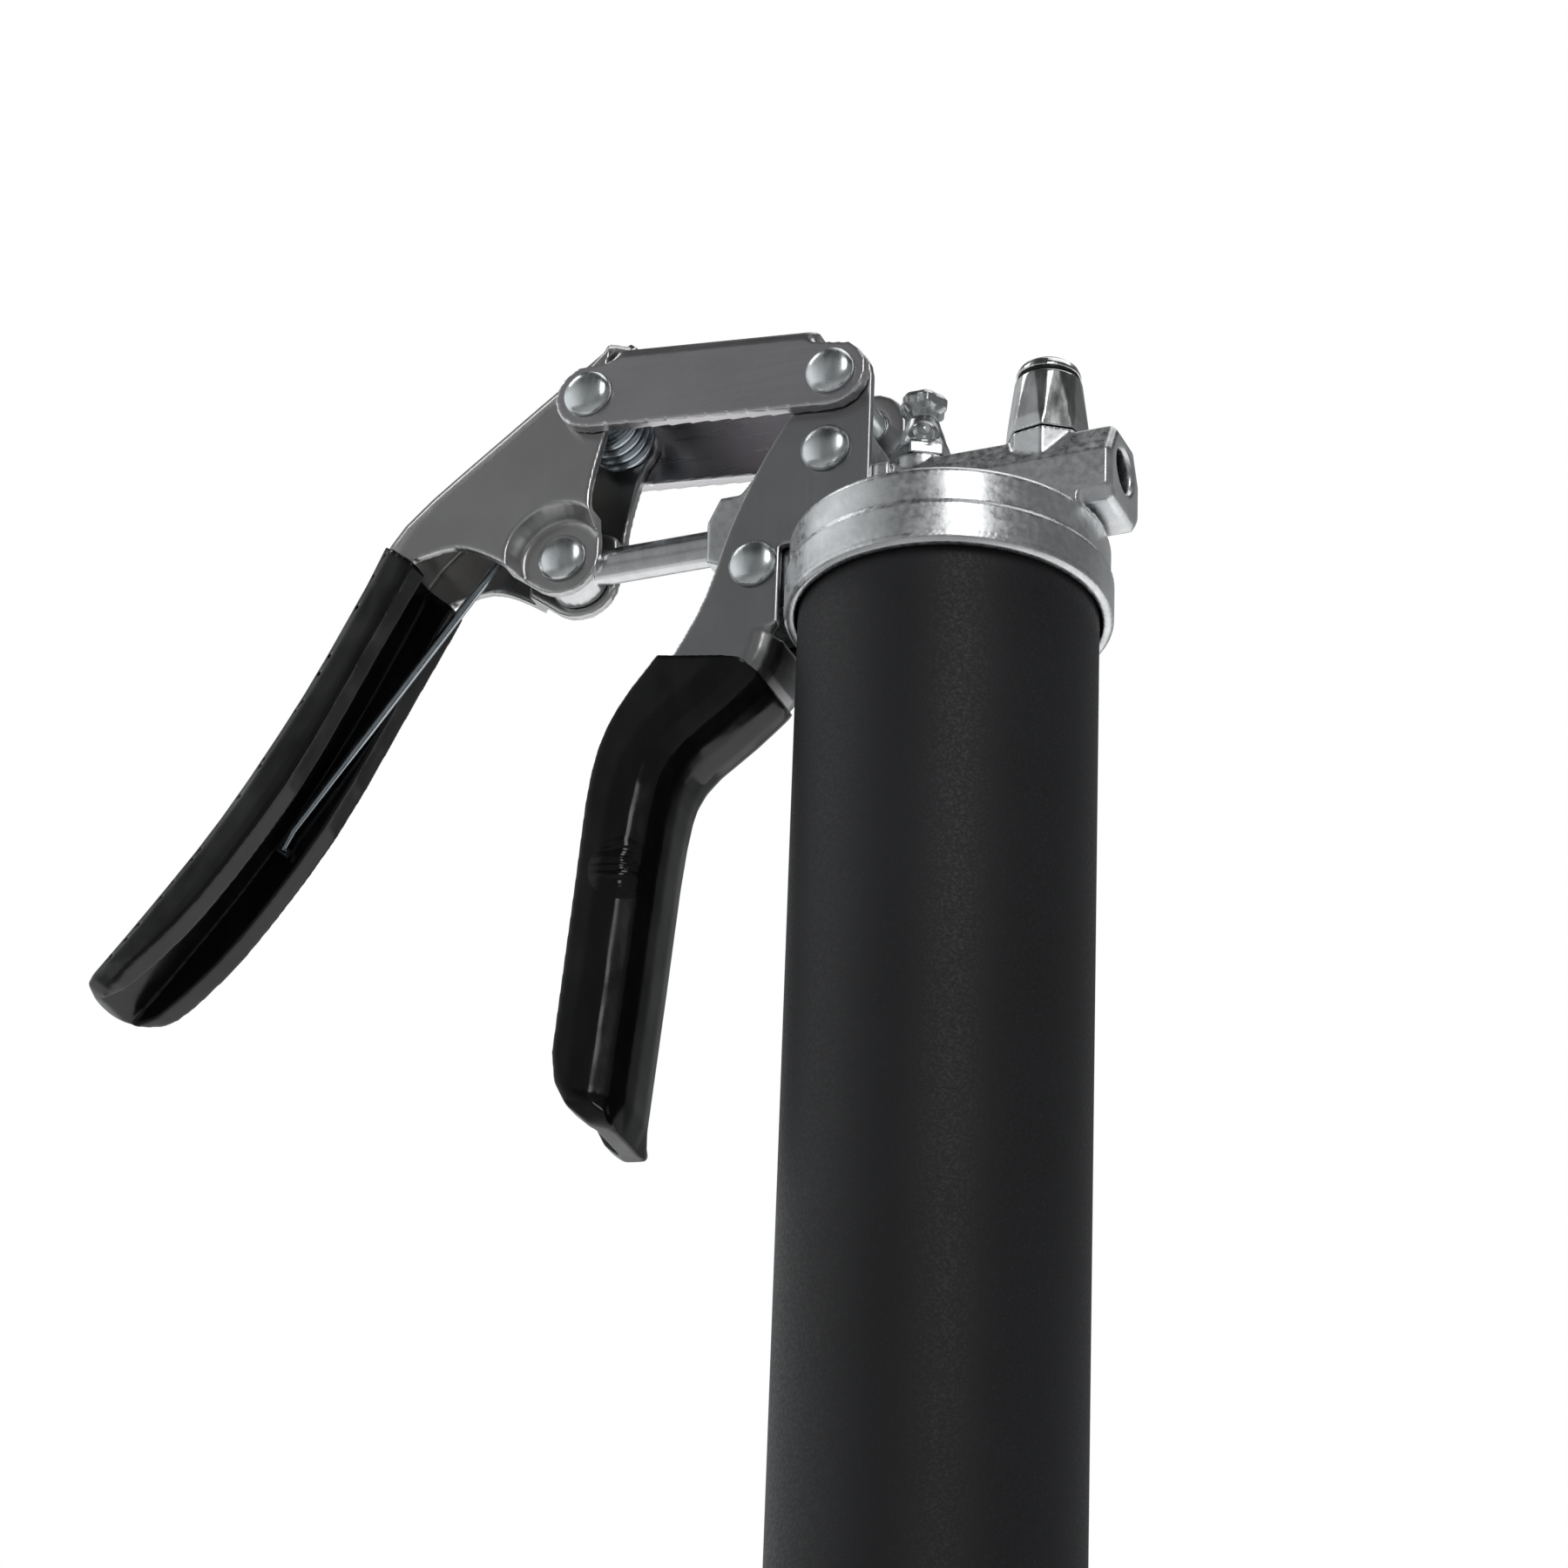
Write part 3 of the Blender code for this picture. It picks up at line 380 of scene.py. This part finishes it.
def dark_moulding(name, colour, roughness):
    """Moulded rubber or plastic with a fine matt texture."""
    made, tree, shader = surface(name, 0.0)
    grain = noise(tree, 1400.0, detail=3.0)
    light = tuple(part * 1.5 for part in colour)
    tree.links.new(blend(tree, spread(tree, grain, 0.0, 1.0), colour, light), shader.inputs["Base Color"])
    tree.links.new(spread(tree, grain, roughness - 0.08, roughness + 0.08), shader.inputs["Roughness"])
    bump(tree, shader, grain, 0.2, 0.0001)
    return made


def make_materials():
    upright = (1.0, 1.0, 0.06)
    along_link = (0.06, 1.0, 1.0)
    return {
        "cast": die_cast(),
        "fixed": pressed_sheet("sheet_fixed", (0.37, 0.37, 0.375), (0.425, 0.425, 0.43), 0.32, upright),
        "lever": pressed_sheet("sheet_lever", (0.46, 0.455, 0.45), (0.52, 0.515, 0.51), 0.30, upright),
        "link": pressed_sheet("sheet_link", (0.55, 0.535, 0.555), (0.61, 0.595, 0.615), 0.28, along_link),
        "rivet": bright_plate("rivet_plate", (0.85, 0.89, 0.90), 0.24),
        "fitting": bright_plate("fitting_plate", (0.86, 0.87, 0.87), 0.16),
        "bleeder": bright_plate("bleeder_plate", (0.62, 0.64, 0.65), 0.27),
        "rod": bright_plate("ground_rod", (0.80, 0.81, 0.82), 0.2),
        "spring": bright_plate("spring_wire", (0.50, 0.56, 0.60), 0.22),
        "cap": bright_plate("cap_plate", (0.55, 0.56, 0.57), 0.3),
        "vinyl": dipped_vinyl("dipped_vinyl"),
        "creased": dipped_vinyl("dipped_vinyl_creased", (-0.060, -0.0112, RIM - 0.0475)),
        "paint": powder_coat(),
        "rubber": dark_moulding("black_rubber", (0.012, 0.012, 0.012), 0.75),
        "plastic": dark_moulding("black_plastic", (0.014, 0.014, 0.015), 0.5),
    }


finishes = make_materials()

# The plain look of every CAD node that stays in view, by its material slot in the record.
BY_SLOT = {
    "die_cast": "cast", "zinc_sheet": "lever", "bright_steel": "rivet", "plunger_steel": "rod",
    "spring_steel": "spring", "black_vinyl": "vinyl", "black_paint": "paint", "cap_steel": "cap",
    "black_rubber": "rubber", "black_plastic": "plastic",
}


def dress_cad_nodes():
    for part in frame["record"]["subparts"]:
        mesh = frame["nodes"][part["node"]].data
        mesh.materials.clear()
        mesh.materials.append(finishes[BY_SLOT[part["material_slot"]]])
        mesh.shade_smooth()
        mesh.set_sharp_from_angle(angle=math.radians(35))


dress_cad_nodes()


# Pieces.

def rivet(name, node, body):
    """A rivet with a domed, slightly flattened head at each end."""
    low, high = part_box(node)
    centre = (low + high) / 2
    half = (high.y - low.y) / 2
    head = (high.x - low.x) / 2
    profile = [(0.0, -half)]
    steps = 12
    for i in range(1, steps + 1):
        angle = math.pi / 2 * i / steps
        profile.append((head * math.sin(angle) ** 0.85, -half + RIVET_DOME * (1 - math.cos(angle) ** 0.9)))
    profile.append((head * 0.64, -half + RIVET_DOME))
    mirrored = [(radius, -height) for radius, height in reversed(profile)]
    piece = turned(name, profile + mirrored, 64, centre, "Y")
    return place(piece, [node], body, finishes["rivet"])


def barrel():
    low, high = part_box("barrel_tube")
    outer = high.x
    inner = outer - BARREL_WALL
    soft = 0.3 * MM
    profile = [
        (inner, low.z), (outer - soft, low.z), (outer, low.z + soft), (outer, high.z - soft),
        (outer - soft, high.z), (inner, high.z),
    ]
    piece = turned("barrel_skin", profile, 192, (0.0, 0.0, 0.0), "Z")
    place(piece, ["barrel_tube"], "barrel", finishes["paint"])
    piece.data.set_sharp_from_angle(angle=math.radians(30))


def end_cap():
    low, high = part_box("end_cap")
    profile = [
        (CAP_BORE, low.z), (high.x - 2.4 * MM, low.z), (high.x - 1.2 * MM, low.z + 0.35 * MM),
        (high.x - 0.35 * MM, low.z + 1.2 * MM), (high.x, low.z + 2.4 * MM), (high.x, high.z - 0.4 * MM),
        (high.x - 0.4 * MM, high.z), (high.x - CAP_WALL, high.z), (high.x - CAP_WALL, low.z + CAP_FLOOR),
        (CAP_BORE, low.z + CAP_FLOOR),
    ]
    piece = turned("end_cap_pressed", profile, 160, (0.0, 0.0, 0.0), "Z")
    place(piece, ["end_cap"], "barrel", finishes["cap"])
    piece.data.set_sharp_from_angle(angle=math.radians(40))


def follower_rod():
    low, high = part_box("follower_rod")
    radius = high.x
    soft = 0.7 * MM
    profile = [(0.0, low.z), (radius - soft, low.z), (radius, low.z + soft), (radius, high.z - soft)]
    profile += [(radius - soft, high.z), (0.0, high.z)]
    piece = turned("follower_rod_ground", profile, 64, (0.0, 0.0, 0.0), "Z")
    place(piece, ["follower_rod"], "follower", finishes["rod"])
    piece.data.set_sharp_from_angle(angle=math.radians(30))


def gland_ring():
    low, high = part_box("seal_retainer")
    centre = (low + high) / 2
    half = (high.x - low.x) / 2
    outer = (high.y - low.y) / 2
    soft = 0.4 * MM
    profile = [
        (GLAND_BORE, -half + soft), (GLAND_BORE + soft, -half), (outer - soft, -half), (outer, -half + soft),
        (outer, half), (GLAND_BORE, half),
    ]
    piece = turned("gland_ring", profile, 64, centre, "X")
    place(piece, ["seal_retainer"], "head", finishes["rivet"])
    piece.data.set_sharp_from_angle(angle=math.radians(50))


def return_spring():
    """Four round turns on the upper pin, with a long leg that lies in the lever."""
    radius = RETURN_SPRING_RADIUS
    turns = 4
    per_turn = 40
    leg_y = 5.0 * MM
    foot = LEVER_PIVOT + Vector((-69.5, 0.0, -79.5)) * MM
    to_foot = foot - LEVER_PIVOT
    angle = math.atan2(to_foot.z, to_foot.x) - math.acos(radius / to_foot.length)
    foot.y = leg_y
    start = LEVER_PIVOT + Vector((radius * math.cos(angle), leg_y, radius * math.sin(angle)))
    path = [foot + Vector((2.2, 0.0, -1.2)) * MM, foot + Vector((0.7, 0.0, -0.5)) * MM]
    path += [foot.lerp(start, i / 24) for i in range(1, 24)]
    for i in range(turns * per_turn + 1):
        at = angle + 2 * math.pi * i / per_turn
        y = leg_y - 2 * leg_y * i / (turns * per_turn)
        path.append(LEVER_PIVOT + Vector((radius * math.cos(at), y, radius * math.sin(at))))
    piece = coiled("return_spring_wire", path, RETURN_SPRING_WIRE, 14)
    place(piece, ["return_spring"], "lever", finishes["spring"])
    piece.data.set_sharp_from_angle(angle=math.radians(50))


def follower_spring():
    """The long spring between the cap and the follower; the real one closes up as the follower is pulled down, but
    this coil keeps one length.
    """
    low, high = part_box("follower_spring")
    radius = FOLLOWER_SPRING_RADIUS
    turns = 12
    per_turn = 36
    path = []
    for i in range(turns * per_turn + 1):
        at = 2 * math.pi * i / per_turn
        z = low.z + 1.3 * MM + (high.z - low.z - 2.6 * MM) * i / (turns * per_turn)
        path.append((radius * math.cos(at), radius * math.sin(at), z))
    piece = coiled("follower_spring_wire", path, FOLLOWER_SPRING_WIRE, 10)
    place(piece, ["follower_spring"], "barrel", finishes["spring"])
    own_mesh(piece)


refined("head_casting", "head_body", "head", finishes["cast"], CAST_VOXEL, 5,
        (HEAD_SEGMENTS, HEAD_BAND_RADIUS, RIM + HEAD_BAND_TOP))
refined("fixed_handle", "fixed_handle_sheet", "head", finishes["fixed"], COARSE_VOXEL, 3)
refined("top_link", "top_link_sheet", "link", finishes["link"], COARSE_VOXEL, 3)
refined("lever", "lever_sheet", "lever", finishes["lever"], COARSE_VOXEL, 3)
refined("fixed_grip", "fixed_grip_skin", "head", finishes["creased"], FIXED_GRIP_VOXEL, 26)
refined("lever_grip", "lever_grip_skin", "lever", finishes["vinyl"], COARSE_VOXEL, 16)
refined("filler_fitting", "filler_body", "head", finishes["fitting"], FINE_VOXEL, 2)
refined("bleed_body", "bleeder_body", "head", finishes["bleeder"], FINE_VOXEL, 2)
refined("bleed_cap", "bleeder_cap", "bleed_cap", finishes["bleeder"], FINE_VOXEL, 2)
for rivet_node, rivet_body in (
    ("head_rivet_upper", "head"), ("head_rivet_lower", "head"), ("link_rivet_lever", "link"),
    ("link_rivet_head", "link"), ("plunger_rivet", "lever"),
):
    rivet(rivet_node + "_domed", rivet_node, rivet_body)
refined("plunger", "plunger_ground", "plunger", finishes["rod"], FINE_VOXEL, 2)
refined("pull_handle", "pull_handle_moulded", "follower", finishes["plastic"],
        COARSE_VOXEL, 5)
refined("rod_lock", "rod_lock_plate", "rod_lock", finishes["cap"], FINE_VOXEL, 2)
gland_ring()
return_spring()
barrel()
end_cap()
follower_rod()
follower_spring()


# Stage, light and camera.

def stage_floor():
    bm = bmesh.new()
    bmesh.ops.create_grid(bm, x_segments=2, y_segments=2, size=FLOOR_HALF_SIZE)
    mesh = bpy.data.meshes.new("studio_floor")
    bm.to_mesh(mesh)
    bm.free()
    floor = linked("studio_floor", mesh)
    floor.location = (0.0, 0.0, FLOOR_HEIGHT)
    made, tree, shader = surface("studio_floor", 0.0)
    tone = spread(tree, noise(tree, 3.0, detail=2.0), 0.0, 1.0)
    tree.links.new(blend(tree, tone, (0.80, 0.80, 0.80), (0.83, 0.83, 0.83)), shader.inputs["Base Color"])
    shader.inputs["Roughness"].default_value = 0.8
    # Painted light: the floor glows, faintly at the front and brightly towards the back, to light the gun from
    # below.
    shader.inputs["Emission Color"].default_value = (1.0, 1.0, 1.0, 1.0)
    spot = add(tree, "ShaderNodeTexCoord").outputs["Object"]
    depth = add(tree, "ShaderNodeSeparateXYZ", {0: spot}).outputs["Y"]
    tree.links.new(spread(tree, depth, 0.04, 0.75, -0.25, 0.35), shader.inputs["Emission Strength"])
    mesh.materials.append(made)


def stage_world():
    """White behind the object, and a dim room, lighter to the left, for light and reflections."""
    world = bpy.data.worlds.new("studio")
    world.use_nodes = True
    tree = world.node_tree
    tree.nodes.clear()
    way = add(tree, "ShaderNodeTexCoord").outputs["Generated"]
    parts = add(tree, "ShaderNodeSeparateXYZ", {0: way})
    left = spread(tree, parts.outputs["X"], 0.8, 0.17, -0.78, -0.28)
    high = spread(tree, parts.outputs["Z"], 1.0, 0.25, 0.5, 0.7)
    side = add(tree, "ShaderNodeMath", {0: left, 1: high}, operation="MULTIPLY").outputs[0]
    back = spread(tree, parts.outputs["Y"], 0.0, 0.12, 0.6, 0.85)
    both = add(tree, "ShaderNodeMath", {0: side, 1: back}, operation="ADD").outputs[0]
    room = add(tree, "ShaderNodeBackground", {"Color": (0.97, 0.99, 1.0, 1.0), "Strength": both})
    white = add(tree, "ShaderNodeBackground", {"Color": (1.0, 1.0, 1.0, 1.0), "Strength": 1.0})
    seen = add(tree, "ShaderNodeLightPath").outputs["Is Camera Ray"]
    mix = add(tree, "ShaderNodeMixShader", {0: seen, 1: room.outputs[0], 2: white.outputs[0]})
    add(tree, "ShaderNodeOutputWorld", {"Surface": mix.outputs[0]})
    bpy.context.scene.world = world


def panel(name, place_at, size, power):
    """A soft rectangular lamp that faces the head of the gun."""
    lamp = bpy.data.lights.new(name, "AREA")
    lamp.shape = "RECTANGLE"
    lamp.size = size[0]
    lamp.size_y = size[1]
    lamp.energy = power
    lamp_object = bpy.data.objects.new(name, lamp)
    bpy.context.scene.collection.objects.link(lamp_object)
    lamp_object.location = place_at
    aim = Vector((-0.03, 0.0, 0.26)) - Vector(place_at)
    lamp_object.rotation_euler = aim.to_track_quat("-Z", "Y").to_euler()


def stage_lights():
    panel("key_front_right", (0.55, -0.95, 0.95), (0.42, 0.7), 3.4)
    panel("upper_left", (-0.78, -0.1, 1.25), (0.35, 0.35), 1.1)
    panel("overhead", (0.2, 0.3, 1.5), (0.9, 0.9), 3.0)


def stage_camera():
    """Below the head and to the right of the handles, looking up."""
    azimuth = math.radians(22.729)
    elevation = math.radians(-28.481)
    roll = math.radians(2.156)
    distance = 1.2429
    target = Vector((-0.03235, 0.0, RIM - 0.02882))
    ahead = Vector((-math.sin(azimuth) * math.cos(elevation), math.cos(azimuth) * math.cos(elevation),
                    -math.sin(elevation)))
    level = Vector((math.cos(azimuth), math.sin(azimuth), 0.0))
    above = level.cross(ahead)
    right = level * math.cos(roll) + above * math.sin(roll)
    up = above * math.cos(roll) - level * math.sin(roll)
    camera = bpy.data.objects.new("camera", bpy.data.cameras.new("camera"))
    bpy.context.scene.collection.objects.link(camera)
    camera.data.lens = 151.83
    camera.data.sensor_width = 36.0
    camera.data.clip_start = 0.01
    camera.data.clip_end = 50.0
    turn = Matrix((right, up, -ahead)).transposed()
    camera.matrix_world = Matrix.Translation(target - ahead * distance) @ turn.to_4x4()
    bpy.context.scene.camera = camera


stage_floor()
stage_world()
stage_lights()
stage_camera()
bpy.context.scene.view_settings.view_transform = "Standard"
